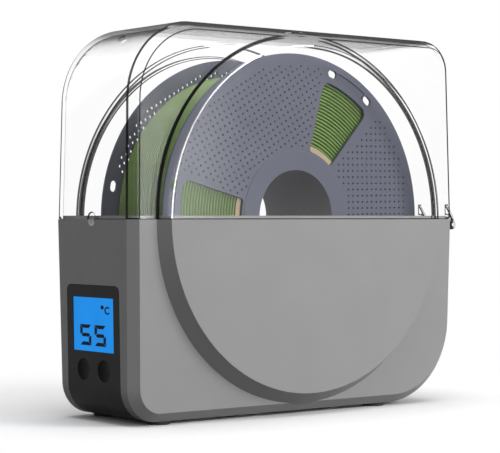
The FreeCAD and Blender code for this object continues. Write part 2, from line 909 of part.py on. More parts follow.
def spool_flange():
    """Front flange with the spigot that centres the core; the rear one is its mirror image."""
    outer_y, inner_y = -spool_width / 2, -flange_inner
    spigot = core_radius - core_wall - core_fit
    pieces = [
        ring_y(hub_radius + hub_wall, spool_radius, outer_y, inner_y, 0, spool_z),
        ring_y(spigot - spigot_wall, spigot, inner_y, inner_y + spigot_height, 0, spool_z),
    ]
    plate_y = outer_y + flange_step
    cuts = [ring_y(hub_radius + hub_land, spool_radius + 1, outer_y - 1, plate_y, 0, spool_z)]
    for turn in window_turns_deg:
        cuts.append(window_cutter(turn, outer_y - 1, inner_y))
        for offset in (-clip_offset_deg, clip_offset_deg):
            cuts.append(clip_cutter(turn + offset, outer_y - 1, inner_y))
        cuts.append(clip_channel(turn, plate_y, plate_y + clip_channel_depth))
    return joined(pieces).cut(cuts)


def spool_hub():
    """Tube that ties the two flanges and gives the spool its bore."""
    return ring_y(hub_radius, hub_radius + hub_wall, -spool_width / 2, spool_width / 2, 0, spool_z)


def spool_core():
    return ring_y(core_radius - core_wall, core_radius, -flange_inner, flange_inner, 0, spool_z)


def filament_layers():
    return ring_y(core_radius, layers_radius, -filament_half, filament_half, 0, spool_z)


# Outermost layer of the winding

def helix_point(radius, turns):
    turn = 2 * math.pi * turns
    y = strand_pitch * (turns - strand_turns / 2)
    return Vector(radius * math.cos(turn), y, spool_z + radius * math.sin(turn))


def helix_way(radius, turns):
    turn = 2 * math.pi * turns
    climb = strand_pitch / (2 * math.pi)
    return Vector(-radius * math.sin(turn), climb, radius * math.cos(turn)).normalize()


def biarc(p0, t0, p1, t1):
    """Two arcs that leave p0 along t0 and reach p1 along t1, meeting smoothly."""
    span = p1 - p0
    a = 2 * (1 - t0.dot(t1))
    b = 2 * span.dot(t0 + t1)
    d = (math.sqrt(b * b + 4 * a * span.dot(span)) - b) / (2 * a)
    q0 = p0 + t0 * d
    q1 = p1 - t1 * d
    meet = (q0 + q1) * 0.5
    arcs = []
    for start, ahead, end in ((p0, q0, meet), (meet, q1, p1)):
        chord_middle = (start + end) * 0.5
        toward = ahead - chord_middle
        half_chord = (end - start).Length / 2
        bow = half_chord * math.tan(math.atan2(toward.Length, half_chord) / 2)
        arcs.append(Part.Arc(start, chord_middle + toward.normalize() * bow, end).toShape())
    return arcs


def filament_outer_layer():
    """One six-sided tube wound side by side round the layers below, its ends running straight."""
    radius = filament_radius - strand_diameter / 2
    first, last = helix_point(radius, 0), helix_point(radius, strand_turns)
    first_way, last_way = helix_way(radius, 0), helix_way(radius, strand_turns)
    tube_start = first - first_way * strand_diameter
    edges = [Part.LineSegment(tube_start, first).toShape()]
    for quarter in range(4 * strand_turns):
        a, b = quarter / 4, (quarter + 1) / 4
        edges += biarc(
            helix_point(radius, a), helix_way(radius, a), helix_point(radius, b), helix_way(radius, b))
    edges.append(Part.LineSegment(last, last + last_way * strand_diameter).toShape())
    path = Part.Wire(edges)
    outward = Vector(strand_diameter / 2, 0, 0)
    across = first_way.cross(outward)
    corners = []
    for k in range(7):
        turn = math.radians(60 * k)
        corners.append(tube_start + outward * math.cos(turn) + across * math.sin(turn))
    tube = path.makePipeShell([Part.makePolygon(corners)], True, False)
    report_strand(path, tube)
    return tube


def report_strand(path, tube):
    """Print the tube's volume against its length, and its least gap to itself."""
    section = 3 * math.sqrt(3) / 8 * strand_diameter ** 2
    print("strand volume ratio", round(tube.Volume / (section * path.Length), 5))
    per_turn = 90
    points = path.discretize(per_turn * strand_turns)
    least = spool_radius
    for i, p in enumerate(points):
        for q in points[i + per_turn // 2:i + 3 * per_turn // 2]:
            least = min(least, p.distanceToPoint(q))
    print("strand turns", strand_turns, "least gap", round(least - strand_diameter, 3))


os.makedirs("parts", exist_ok=True)

save("base_shell", base_shell())
save("clear_cover", clear_cover())
save("hinge_pin_front", mirrored(hinge_pin()))
save("hinge_pin_rear", hinge_pin())
for name, place in zip(("display_front", "display_rear", "hinge_front", "hinge_rear"), foot_places()):
    save("foot_" + name, foot(*place))

save("control_panel", control_panel())
save("screen_window", screen_window())
save("screen_module", screen_module())
save("control_board", control_board())
save("board_screws", board_screws())
for name, y in zip(("left", "right"), button_places()):
    save("button_" + name, button(y))
save("button_switches", button_switches())
save("electronics_cap", electronics_cap())
save("power_socket", power_socket())
save("socket_nut", socket_nut())
save("power_lead", power_lead())
save("heater_lead", heater_lead())

save("inner_tray", inner_tray())
save("tray_screws", tray_screws())
save("heater_plate", heater_plate())
save("heater_film", heater_film())
save("temperature_sensor", temperature_sensor())
save("roller_shaft_hinge", roller_shaft())
save("roller_wheels_hinge", roller_wheels())
save("roller_bearings_hinge", roller_bearings())
save("roller_shaft_display", other_end(roller_shaft()))
save("roller_wheels_display", other_end(roller_wheels()))
save("roller_bearings_display", other_end(roller_bearings()))

front_flange = spool_flange()
save("spool_flange_front", front_flange)
save("spool_flange_rear", mirrored(front_flange))
save("spool_hub", spool_hub())
save("spool_core", spool_core())
save("filament_layers", filament_layers())
save("filament_outer_layer", filament_outer_layer())
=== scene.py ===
import math

import bmesh
import bpy
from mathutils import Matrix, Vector
from mathutils.geometry import delaunay_2d_cdt


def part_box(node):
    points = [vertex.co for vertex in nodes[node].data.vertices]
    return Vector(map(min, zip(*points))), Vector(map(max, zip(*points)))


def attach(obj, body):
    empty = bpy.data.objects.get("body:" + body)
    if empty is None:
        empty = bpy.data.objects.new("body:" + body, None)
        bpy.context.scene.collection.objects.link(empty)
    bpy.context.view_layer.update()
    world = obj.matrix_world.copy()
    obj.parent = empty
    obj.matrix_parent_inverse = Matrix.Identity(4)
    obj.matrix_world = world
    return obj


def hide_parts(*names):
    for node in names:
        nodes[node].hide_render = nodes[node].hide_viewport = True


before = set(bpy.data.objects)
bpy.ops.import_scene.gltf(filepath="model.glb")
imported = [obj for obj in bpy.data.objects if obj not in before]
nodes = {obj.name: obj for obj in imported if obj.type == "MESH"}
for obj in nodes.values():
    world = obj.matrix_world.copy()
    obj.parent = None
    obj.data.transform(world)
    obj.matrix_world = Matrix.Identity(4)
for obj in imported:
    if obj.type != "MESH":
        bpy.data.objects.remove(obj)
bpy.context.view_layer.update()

MM = 0.001
AXIS_X = -3.775              # spool axis, in millimetres, from the part's source
AXIS_Z = 120.1
SEAM_Z = 118.6
END_X = -131.525             # display end at the seam
LEAN = math.radians(1.05)

scene = bpy.context.scene
scene.view_settings.view_transform = "Standard"


# Materials

NOISE_RANGE = (0.3, 0.7)     # where nearly all values of a noise lie


def linear(red, green, blue):
    """Linear colour of an sRGB value from 0 to 255."""
    def one(v):
        v /= 255
        return v / 12.92 if v <= 0.04045 else ((v + 0.055) / 1.055) ** 2.4
    return (one(red), one(green), one(blue), 1)


def scaled(colour, factor):
    return tuple(min(1, c * factor) for c in colour[:3]) + (1,)


def started(name):
    material = bpy.data.materials.new(name)
    material.use_nodes = True
    tree = material.node_tree
    return material, tree, tree.nodes["Principled BSDF"]


def noise(tree, scale, detail, stretch=None):
    """Noise in the part's own coordinates; scale is in cycles a metre."""
    where = tree.nodes.new("ShaderNodeTexCoord").outputs["Object"]
    if stretch:
        mapping = tree.nodes.new("ShaderNodeMapping")
        mapping.inputs["Scale"].default_value = stretch
        tree.links.new(where, mapping.inputs["Vector"])
        where = mapping.outputs["Vector"]
    made = tree.nodes.new("ShaderNodeTexNoise")
    made.inputs["Scale"].default_value = scale
    made.inputs["Detail"].default_value = detail
    tree.links.new(where, made.inputs["Vector"])
    return made.outputs[0]


def ramp(tree, fac, low, high):
    """Colour between two, by a noise."""
    made = tree.nodes.new("ShaderNodeValToRGB")
    for stop, place, colour in zip(made.color_ramp.elements, NOISE_RANGE, (low, high)):
        stop.position = place
        stop.color = colour
    tree.links.new(fac, made.inputs["Fac"])
    return made.outputs["Color"]


def spread(tree, fac, low, high):
    """Value between two, by a noise."""
    made = tree.nodes.new("ShaderNodeMapRange")
    made.inputs["From Min"].default_value = NOISE_RANGE[0]
    made.inputs["From Max"].default_value = NOISE_RANGE[1]
    made.inputs["To Min"].default_value = low
    made.inputs["To Max"].default_value = high
    tree.links.new(fac, made.inputs["Value"])
    return made.outputs["Result"]


def bumped(tree, shader, height, distance, strength):
    """Relief on a shader; the distance is in millimetres."""
    made = tree.nodes.new("ShaderNodeBump")
    made.inputs["Distance"].default_value = distance * MM
    made.inputs["Strength"].default_value = strength
    tree.links.new(height, made.inputs["Height"])
    tree.links.new(made.outputs["Normal"], shader.inputs["Normal"])


def moulded(name, colour, rough, grain=0.45, depth=0.03, shift=0.05, gloss=0.3):
    """Moulded plastic: spark-eroded grain, faint flow marks and uneven sheen."""
    material, tree, shader = started(name)
    flow = noise(tree, 26, 4)
    tint = ramp(tree, flow, scaled(colour, 1 - shift), scaled(colour, 1 + shift))
    tree.links.new(tint, shader.inputs["Base Color"])
    sheen = noise(tree, 140, 3)
    tree.links.new(spread(tree, sheen, rough - 0.06, rough + 0.06), shader.inputs["Roughness"])
    bumped(tree, shader, noise(tree, 1 / (grain * MM), 2), depth, 0.35)
    shader.inputs["Specular IOR Level"].default_value = gloss
    return material


def metal(name, colour, rough, stretch):
    """Drawn or rolled metal: streaks along one direction."""
    material, tree, shader = started(name)
    streaks = noise(tree, 900, 3, stretch)
    tint = ramp(tree, streaks, scaled(colour, 0.86), scaled(colour, 1.08))
    tree.links.new(tint, shader.inputs["Base Color"])
    tree.links.new(spread(tree, streaks, rough - 0.08, rough + 0.1), shader.inputs["Roughness"])
    bumped(tree, shader, streaks, 0.01, 0.3)
    shader.inputs["Metallic"].default_value = 1
    return material


def rubber(name, colour):
    material, tree, shader = started(name)
    tree.links.new(ramp(tree, noise(tree, 300, 5), scaled(colour, 0.7), scaled(colour, 1.5)),
                   shader.inputs["Base Color"])
    bumped(tree, shader, noise(tree, 3500, 2), 0.03, 0.5)
    shader.inputs["Roughness"].default_value = 0.8
    return material


def lit_screen(name):
    """Backlit display: slightly uneven glow behind a glossy front."""
    material, tree, shader = started(name)
    glow = linear(16, 140, 232)
    tint = ramp(tree, noise(tree, 38, 1), scaled(glow, 0.92), scaled(glow, 1.06))
    tree.links.new(tint, shader.inputs["Emission Color"])
    shader.inputs["Emission Strength"].default_value = 0.95
    shader.inputs["Base Color"].default_value = linear(4, 20, 40)
    shader.inputs["Specular IOR Level"].default_value = 0.05
    shader.inputs["Roughness"].default_value = 0.22
    return material


def wound(name, colour):
    """Extruded thread: lengthwise gloss with slow shifts of tone."""
    material, tree, shader = started(name)
    tint = ramp(tree, noise(tree, 420, 3), scaled(colour, 0.8), scaled(colour, 1.16))
    tree.links.new(tint, shader.inputs["Base Color"])
    tree.links.new(spread(tree, noise(tree, 900, 2), 0.3, 0.44), shader.inputs["Roughness"])
    bumped(tree, shader, noise(tree, 2200, 2), 0.02, 0.3)
    return material


# How aslant the sheet is seen, and how far its colour has then gone to the one at the rim; this
# darkening aslant is painted shade
FLAT_SHADE_STOPS = ((0.5, 0), (0.7, 0.035), (0.82, 0.1), (0.9, 0.46), (1, 1))
ROUND_SHADE_STOPS = ((0.6, 0), (0.7, 0.14), (0.78, 0.47), (0.84, 0.85), (1, 0.95))
BROW_SHADE_STOPS = ((0.5, 0), (0.62, 0.9), (1, 1))
THROUGH = (0.997, 0.997, 0.997, 1)
# Near-black colour that the clear sheets reach aslant: painted shade
PAINTED_RIM_SHADE = (0.1, 0.095, 0.095, 1)
MIRROR_POWER = 5


def clear_sheet(name, through, at_rim, least, most, shade_stops=FLAT_SHADE_STOPS):
    """Thin clear plastic: clear square on, more mirror-like aslant, and darker aslant by painted
    shade.
    """
    material = bpy.data.materials.new(name)
    material.use_nodes = True
    tree = material.node_tree
    tree.nodes.clear()
    weight = tree.nodes.new("ShaderNodeLayerWeight")
    weight.inputs["Blend"].default_value = 0.5
    steep = tree.nodes.new("ShaderNodeMath")
    steep.operation = "POWER"
    steep.inputs[1].default_value = MIRROR_POWER
    tree.links.new(weight.outputs["Facing"], steep.inputs[0])
    share = tree.nodes.new("ShaderNodeMapRange")
    share.inputs["To Min"].default_value = least
    share.inputs["To Max"].default_value = most
    tree.links.new(steep.outputs["Value"], share.inputs["Value"])
    # Painted shade: the see-through colour goes towards the rim colour aslant
    tint = tree.nodes.new("ShaderNodeValToRGB")
    stops = tint.color_ramp.elements
    while len(stops) < len(shade_stops):
        stops.new(0.5)
    for stop, (place, part) in zip(stops, shade_stops):
        stop.position = place
        stop.color = [a + (b - a) * part for a, b in zip(through, at_rim)]
    tree.links.new(weight.outputs["Facing"], tint.inputs["Fac"])
    see = tree.nodes.new("ShaderNodeBsdfTransparent")
    tree.links.new(tint.outputs["Color"], see.inputs["Color"])
    gloss = tree.nodes.new("ShaderNodeBsdfGlossy")
    tree.links.new(spread(tree, noise(tree, 60, 3), 0.1, 0.15), gloss.inputs["Roughness"])
    gloss.inputs["Color"].default_value = (0.9, 0.9, 0.9, 1)
    mix = tree.nodes.new("ShaderNodeMixShader")
    tree.links.new(share.outputs["Result"], mix.inputs["Fac"])
    tree.links.new(see.outputs["BSDF"], mix.inputs[1])
    tree.links.new(gloss.outputs["BSDF"], mix.inputs[2])
    out = tree.nodes.new("ShaderNodeOutputMaterial")
    tree.links.new(mix.outputs["Shader"], out.inputs["Surface"])
    return material


case_grey = moulded("case_grey", (0.30, 0.30, 0.30, 1), 0.5, grain=0.6, shift=0.025, gloss=0.2)
inner_grey = moulded("inner_grey", (0.24, 0.24, 0.245, 1), 0.6)
panel_black = moulded("panel_black", linear(34, 34, 35), 0.42, grain=0.35, depth=0.02, gloss=0.08)
button_black = moulded("button_black", linear(8, 8, 9), 0.38, grain=0.3, depth=0.02, gloss=0.03)
module_black = moulded("module_black", linear(26, 26, 28), 0.5)
socket_black = moulded("socket_black", linear(24, 24, 25), 0.4)
roller_grey = moulded("roller_grey", (0.42, 0.42, 0.43, 1), 0.45)
flange_grey = moulded("flange_grey", linear(100, 103, 117), 0.45, grain=0.5, shift=0.03, gloss=0.08)
# Pale grey for the hub's bore: painted light, not the part's own colour
bore_painted_light = moulded("bore_painted_light", linear(182, 182, 185), 0.5, grain=0.5, shift=0.03, gloss=0.1)
core_tan = moulded("core_tan", linear(178, 160, 128), 0.6, grain=0.9, depth=0.05)
board_green = moulded("board_green", linear(28, 92, 52), 0.35, grain=0.8)
film_amber = moulded("film_amber", linear(176, 98, 30), 0.3, grain=1.4)
steel = metal("steel", (0.56, 0.56, 0.57, 1), 0.28, (1, 0.08, 1))
aluminium = metal("heater_aluminium", (0.78, 0.78, 0.79, 1), 0.34, (1, 0.05, 1))
rubber_black = rubber("rubber_black", linear(20, 20, 20))
screen_blue = lit_screen("screen_blue")
digit_black = moulded("digit_black", linear(6, 9, 16), 0.4, gloss=0.05)
filament_green = wound("filament_green", (0.125, 0.226, 0.03, 1))
lead_black = rubber("lead_black", linear(18, 18, 18))
# Clear sheets whose see-through colour darkens aslant by painted shade
cover_clear = clear_sheet("cover_clear", THROUGH, PAINTED_RIM_SHADE, 0.01, 0.12)
# Near-black sheet: painted dark shade on the softened edges
cover_edge_painted_shade = clear_sheet("cover_edge_painted_shade", (0.08, 0.08, 0.08, 1), (0.02, 0.02, 0.02, 1), 0.01, 0.05)
cover_round = clear_sheet("cover_round", THROUGH, PAINTED_RIM_SHADE, 0.01, 0.12, ROUND_SHADE_STOPS)
# Clear square on, near-black aslant: painted shade on edges that face up
cover_brow_painted_shade = clear_sheet("cover_brow_painted_shade", THROUGH, (0.04, 0.04, 0.04, 1), 0.01, 0.05, BROW_SHADE_STOPS)
# Pale half-mirror sheet: a painted highlight on the disc's outer edge
cover_painted_highlight = clear_sheet("cover_painted_highlight", (0.95, 0.95, 0.95, 1), (0.8, 0.8, 0.8, 1), 0.5, 0.6)

# Nodes that pieces of their own replace need no entry; the rest are feet or steel
FINISH = {
    "base_shell": case_grey,
    "control_panel": panel_black,
    "screen_window": screen_blue,
    "screen_module": module_black,
    "control_board": board_green,
    "button_left": button_black,
    "button_right": button_black,
    "button_switches": module_black,
    "electronics_cap": inner_grey,
    "power_socket": socket_black,
    "inner_tray": inner_grey,
    "heater_plate": aluminium,
    "heater_film": film_amber,
    "temperature_sensor": module_black,
    "spool_core": core_tan,
    "roller_wheels_hinge": roller_grey,
    "roller_wheels_display": roller_grey,
    "power_lead": lead_black,
    "heater_lead": lead_black,
}
for name, node in nodes.items():
    finish = FINISH.get(name, rubber_black if name.startswith("foot_") else steel)
    node.data.materials.clear()
    node.data.materials.append(finish)


# Mesh helpers

WELD = 1e-6                  # points nearer than this are one, in metres


def spool_point(radius, angle, y):
    return Vector((AXIS_X + radius * math.cos(angle), y, AXIS_Z + radius * math.sin(angle))) * MM


class Build:
    """Collects the faces of one piece."""

    def __init__(self):
        self.mesh = bmesh.new()

    def vert(self, place):
        return self.mesh.verts.new(place)

    def strip(self, first, second):
        """Quads between two closed rows of points with as many points each."""
        count = len(first)
        for i in range(count):
            j = (i + 1) % count
            self.mesh.faces.new((first[i], first[j], second[j], second[i]))

    def lathe(self, profile, count, closed=False):
        """Turn a profile of (radius, y) about the spool's axis."""
        turns = [2 * math.pi * i / count for i in range(count)]
        rows = [[self.vert(spool_point(r, a, y)) for a in turns] for r, y in profile]
        pairs = list(zip(rows, rows[1:]))
        if closed:
            pairs.append((rows[-1], rows[0]))
        for first, second in pairs:
            self.strip(first, second)

    def tube(self, places, radius, sides):
        """A closed-ended tube along a row of points."""
        rows = []
        for i, place in enumerate(places):
            ahead = places[min(i + 1, len(places) - 1)] - places[max(i - 1, 0)]
            ahead.normalize()
            side = ahead.cross(Vector((0, 1, 0))).normalized()
            up = side.cross(ahead)
            turns = [2 * math.pi * k / sides for k in range(sides)]
            rows.append([self.vert(place + radius * (math.cos(t) * side + math.sin(t) * up))
                         for t in turns])
        for first, second in zip(rows, rows[1:]):
            self.strip(first, second)
        self.mesh.faces.new(rows[0])
        self.mesh.faces.new(rows[-1])

    def prism(self, outline, lift):
        """A flat plate: an outline of points, and how far its other face is away."""
        low = [self.vert(p) for p in outline]
        high = [self.vert(p + lift) for p in outline]
        self.mesh.faces.new(low)
        self.mesh.faces.new(high)
        self.strip(low, high)

    def finish(self, name, materials, body, slot, smooth_deg):
        """Make the piece, smooth over edges under an angle, on its body; the slot argument is not
        used.
        """
        bmesh.ops.remove_doubles(self.mesh, verts=self.mesh.verts[:], dist=WELD)
        bmesh.ops.recalc_face_normals(self.mesh, faces=self.mesh.faces[:])
        data = bpy.data.meshes.new(name)
        self.mesh.to_mesh(data)
        self.mesh.free()
        for material in materials:
            data.materials.append(material)
        data.shade_smooth()
        data.set_sharp_from_angle(angle=math.radians(smooth_deg))
        piece = bpy.data.objects.new(name, data)
        scene.collection.objects.link(piece)
        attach(piece, body)
        return piece


# Clear cover: the same shell with softened edges. They carry painted dark shade, apart from the
# disc's outer edge, which has a painted highlight left of the axis, and edges that face up, whose
# painted shade shows only aslant

TOP_WIDE = 4.5               # how far each kind of edge is softened, in millimetres
FLARE_WIDE = 3.0
FLARE_THIN = 1.35
FLARE_LEAST = (0.75, 0.3)    # over the top of the disc, front and rear
WALL_WIDE = 1.65
WALL_THIN = 0.9
SMALL_EDGE = 0.72
THIN_EDGE = 0.42
# Width of the bevel that carries the painted highlight
PAINTED_HIGHLIGHT_EDGE = 0.4
LEAST_ANGLE = math.radians(24)
EAR_X = 0.1239               # hinge ears lie beyond this, in metres
REAR_Y = 0.02
HOLE_Y = 0.006
BROW_Z = 0.8                 # softened edges that face up more than this get painted dark shade only aslant
FLARE_Y = (0.5, 0.65)        # how far the normals of the flares face sideways
BROAD_Y = 0.9
WALL_Y = (0.6, 0.8)          # the same for the chamfered corners of the walls
END_Y = 0.1
ROUND_Y = 0.3                # end-to-top roundings face sideways less than this
ROUND_Z = (0.1, 0.995)       # and upward within this
TOP_POWER = 16               # how late an edge widens towards the top
COVER_WELD = 2e-6
COVER_FLAT = math.radians(0.4)
# Sheets: clear, painted dark edge shade, painted highlight, clear rounding, and painted shade on
# upward edges
SHEET_CLEAR, SHEET_EDGE_SHADE, SHEET_PAINTED_HIGHLIGHT, SHEET_ROUND, SHEET_BROW_SHADE = range(5)


def edge_kind(edge, middle):
    """Which edge of the cover this is, or None where it stays as it is."""
    if len(edge.link_faces) != 2 or edge.calc_face_angle(0) < LEAST_ANGLE:
        return None
    first, second = [face.normal for face in edge.link_faces]
    centre = (edge.verts[0].co + edge.verts[1].co) / 2
    outer = (first + second).dot(centre - middle) > 0
    less, more = sorted((abs(first.y), abs(second.y)))
    if FLARE_Y[0] < less < FLARE_Y[1] and more > BROAD_Y:
        foot = outer != edge.is_convex
        # The near disc's outer edge: a painted highlight
        if centre.y < 0 and outer and not foot:
            return "painted_highlight"
        right = centre.x > AXIS_X * MM
        if centre.y < 0 and not outer:
            if right:
                return "flare_wide"
            if not foot:
                return None
        if centre.y > 0 and outer and not foot and not right:
            return "flare_wide"
        return "flare"
    if centre.x > EAR_X:
        return "small"
    wall = less < END_Y and WALL_Y[0] < more < WALL_Y[1] and abs(centre.y) > REAR_Y
    if not outer or centre.y > REAR_Y and not (wall and centre.x < 0):
        return None
    if abs(centre.y) < HOLE_Y:
        return "small"
    return "wall" if wall else "thin"


def edge_width(edge, kind):
    """How wide an edge is softened, and so how wide its band of painted dark shade is: most along the
    top, and where a flare meets the broad side.
    """
    centre = (edge.verts[0].co + edge.verts[1].co) / 2
    across = centre.x / MM - AXIS_X
    if kind.startswith("flare"):
        up = centre.z / MM - AXIS_Z
        most = FLARE_WIDE if kind == "flare_wide" else FLARE_THIN
        least = FLARE_LEAST[int(centre.y > 0)]
        return least + (most - least) * across ** 2 / (across ** 2 + up ** 2)
    if kind == "wall":
        upward = max(0, *(face.normal.z for face in edge.link_faces))
        least = WALL_WIDE if across * centre.y < 0 else WALL_THIN
        if centre.y > 0:
            return least + (THIN_EDGE - least) * upward
        return least + (TOP_WIDE - least) * upward ** TOP_POWER
    return SMALL_EDGE if kind == "small" else THIN_EDGE


def eased_cover():
    """The cover with its edges softened, kept within the box of its node."""
    build = Build()
    mesh = build.mesh
    mesh.from_mesh(nodes["clear_cover"].data)
    bmesh.ops.remove_doubles(mesh, verts=mesh.verts[:], dist=COVER_WELD)
    bmesh.ops.dissolve_limit(
        mesh, angle_limit=COVER_FLAT, verts=mesh.verts[:], edges=mesh.edges[:])
    for face in mesh.faces:
        curved = abs(face.normal.y) < ROUND_Y and ROUND_Z[0] < abs(face.normal.z) < ROUND_Z[1]
        face.material_index = SHEET_ROUND if curved else SHEET_CLEAR
    low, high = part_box("clear_cover")
    middle = (Vector(low) + Vector(high)) / 2
    middle.z = SEAM_Z * MM
    # Painted highlight on the near disc's outer edge; right of the axis these faces get the painted
    # dark shade instead
    painted_highlight = [edge for edge in mesh.edges if edge_kind(edge, middle) == "painted_highlight"]
    bmesh.ops.bevel(mesh, geom=painted_highlight, offset=PAINTED_HIGHLIGHT_EDGE * MM, offset_type="OFFSET", segments=3,
                    profile=0.5, affect="EDGES", material=SHEET_PAINTED_HIGHLIGHT, clamp_overlap=False)
    mesh.normal_update()
    for face in mesh.faces:
        if face.material_index == SHEET_PAINTED_HIGHLIGHT and face.calc_center_median().x > AXIS_X * MM:
            face.material_index = SHEET_EDGE_SHADE
    weight = mesh.edges.layers.float.new("bevel_weight_edge")
    for edge in mesh.edges:
        kind = edge_kind(edge, middle)
        if kind and kind != "painted_highlight":
            edge[weight] = edge_width(edge, kind) / TOP_WIDE
    sheets = [cover_clear, cover_edge_painted_shade, cover_painted_highlight, cover_round, cover_brow_painted_shade]
    piece = build.finish("clear_cover_eased", sheets, "lid", "cover_clear", 50)
    # The softened edges take the near-black sheet: painted dark shade
    ease = piece.modifiers.new("soft_edges", "BEVEL")
    ease.limit_method = "WEIGHT"
    ease.width = TOP_WIDE * MM
    ease.segments = 2
    ease.material = SHEET_EDGE_SHADE
    ease.use_clamp_overlap = False
    depsgraph = bpy.context.evaluated_depsgraph_get()
    piece.data = bpy.data.meshes.new_from_object(piece.evaluated_get(depsgraph))
    piece.modifiers.clear()
    for vert in piece.data.vertices:
        vert.co = [min(max(c, a), b) for c, a, b in zip(vert.co, low, high)]
    # Softened edges that face up get painted shade that shows only aslant
    for face in piece.data.polygons:
        if face.material_index == SHEET_EDGE_SHADE and face.normal.z > BROW_Z:
            face.material_index = SHEET_BROW_SHADE
    weighted = piece.modifiers.new("flat_faces", "WEIGHTED_NORMAL")
    weighted.keep_sharp = True
    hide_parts("clear_cover")


eased_cover()


# Spool sides, perforated between the windows

LAND_OUT = 32.8
PLATE_OUT = 32.5
FLANGE_IN = 30.8
HUB_OUT = 31.2
LAND_R = 40.7
FLANGE_R = 100.0
RIM_ROUND = 0.4
WINDOW = (41.8, 87.3, math.radians(13.3))
WINDOW_CORNERS = (2.0, 5.0)
WINDOW_TURNS = [math.radians(a) for a in (61.6, 178.5, 300.0)]
SECTOR_TURNS = [math.radians(a) for a in (0.8, 120.05, 239.25)]
SLOT_R = 93.5
SLOT_OFF = math.radians(10)
SLOT_LONG = 7.0
SLOT_WIDE = 4.6
CHANNEL_DEEP = 0.6
CHANNEL_HALF = math.radians(7.4)
DOT_PITCH = 3.9
DOT_START = (27.25, 0.9)     # first dot of a sector's grid, along and across its middle line
DOT_BAND = (42.5, 93.4)
DOT_HALF = math.radians(43)
DOT_FRONT = (0.56, 1.0)      # radius outside and inside, since the holes are tapered
DOT_REAR = (1.0, 1.2)
DOT_CLEAR = 1.9              # least distance from a dot's middle to a window, slot or groove
CHANNEL_INSET = 0.1
LAND_EDGE = 0.4
SAME_POINT = 1e-4
CDT_MERGE = 1e-6


def polar(radius, angle):
    return (radius * math.cos(angle), radius * math.sin(angle))


def arc(centre, radius, start, end, count):
    return [(centre[0] + radius * math.cos(start + (end - start) * i / count),
             centre[1] + radius * math.sin(start + (end - start) * i / count))
            for i in range(count + 1)]


def window_loop(turn):
    """Ring sector with rounded corners."""
    inner, outer, half = WINDOW
    small, large = WINDOW_CORNERS
    low = math.asin(small / (inner + small))
    high = math.asin(large / (outer - large))
    quarter = math.pi / 2
    loop = arc((0, 0), outer, turn - half + high, turn + half - high, 24)
    loop += arc(polar(outer - large, turn + half - high), large,
                turn + half - high, turn + half + quarter, 8)
    loop += arc(polar(inner + small, turn + half - low), small,
                turn + half + quarter, turn + half - low + math.pi, 6)
    loop += arc((0, 0), inner, turn + half - low, turn - half + low, 12)
    loop += arc(polar(inner + small, turn - half + low), small,
                turn - half + low + math.pi, turn - half + 3 * quarter, 6)
    loop += arc(polar(outer - large, turn - half + high), large,
                turn - half - quarter, turn - half + high, 8)
    return loop


def slot_loop(turn):
    """Round-ended slot near the rim."""
    along = (-math.sin(turn), math.cos(turn))
    reach = (SLOT_LONG - SLOT_WIDE) / 2
    middle = polar(SLOT_R, turn)
    loop = []
    for way in (1, -1):
        centre = (middle[0] + way * reach * along[0], middle[1] + way * reach * along[1])
        start = turn if way == 1 else turn + math.pi
        loop += arc(centre, SLOT_WIDE / 2, start, start + math.pi, 10)
    return loop


def inside(point, loop):
    """Whether a point is within a closed outline."""
    x, z = point
    odd = False
    for (ax, az), (bx, bz) in zip(loop, loop[1:] + loop[:1]):
        if (az > z) != (bz > z) and x < ax + (bx - ax) * (z - az) / (bz - az):
            odd = not odd
    return odd


def clearance(point, loop):
    """Distance from a point to the nearest side of an outline."""
    least = math.inf
    for (ax, az), (bx, bz) in zip(loop, loop[1:] + loop[:1]):
        dx, dz = bx - ax, bz - az
        share = ((point[0] - ax) * dx + (point[1] - az) * dz) / (dx * dx + dz * dz)
        share = min(1, max(0, share))
        least = min(least, math.hypot(ax + share * dx - point[0], az + share * dz - point[1]))
    return least


def channel_loop(turn):
    """Shallow groove between a pair of slots."""
    reach = SLOT_WIDE / 2 - CHANNEL_INSET
    return (arc((0, 0), SLOT_R + reach, turn - CHANNEL_HALF, turn + CHANNEL_HALF, 16)
            + arc((0, 0), SLOT_R - reach, turn + CHANNEL_HALF, turn - CHANNEL_HALF, 16))


def dot_places(cutouts):
    """Square grid in each sector, clear of the windows and the slots."""
    keep = []
    reach = int(FLANGE_R / DOT_PITCH) + 1
    for turn in SECTOR_TURNS:
        for i in range(reach):
            for j in range(-reach, reach + 1):
                u = DOT_START[0] + DOT_PITCH * i
                v = DOT_START[1] + DOT_PITCH * j
                if not DOT_BAND[0] < math.hypot(u, v) < DOT_BAND[1]:
                    continue
                if abs(math.atan2(v, u)) > DOT_HALF:
                    continue
                place = (u * math.cos(turn) - v * math.sin(turn),
                         u * math.sin(turn) + v * math.cos(turn))
                if any(inside(place, loop) or clearance(place, loop) < DOT_CLEAR for loop in cutouts):
                    continue
                keep.append(place)
    return keep


def dot_loop(place, radius):
    return arc(place, radius, 0, 2 * math.pi, 8)[:-1]


def tidy_loop(loop):
    """Drop points that sit on the one before."""
    kept = []
    for p in loop:
        if not kept or math.hypot(p[0] - kept[-1][0], p[1] - kept[-1][1]) > SAME_POINT:
            kept.append(p)
    if math.hypot(kept[0][0] - kept[-1][0], kept[0][1] - kept[-1][1]) < SAME_POINT:
        kept.pop()
    return kept


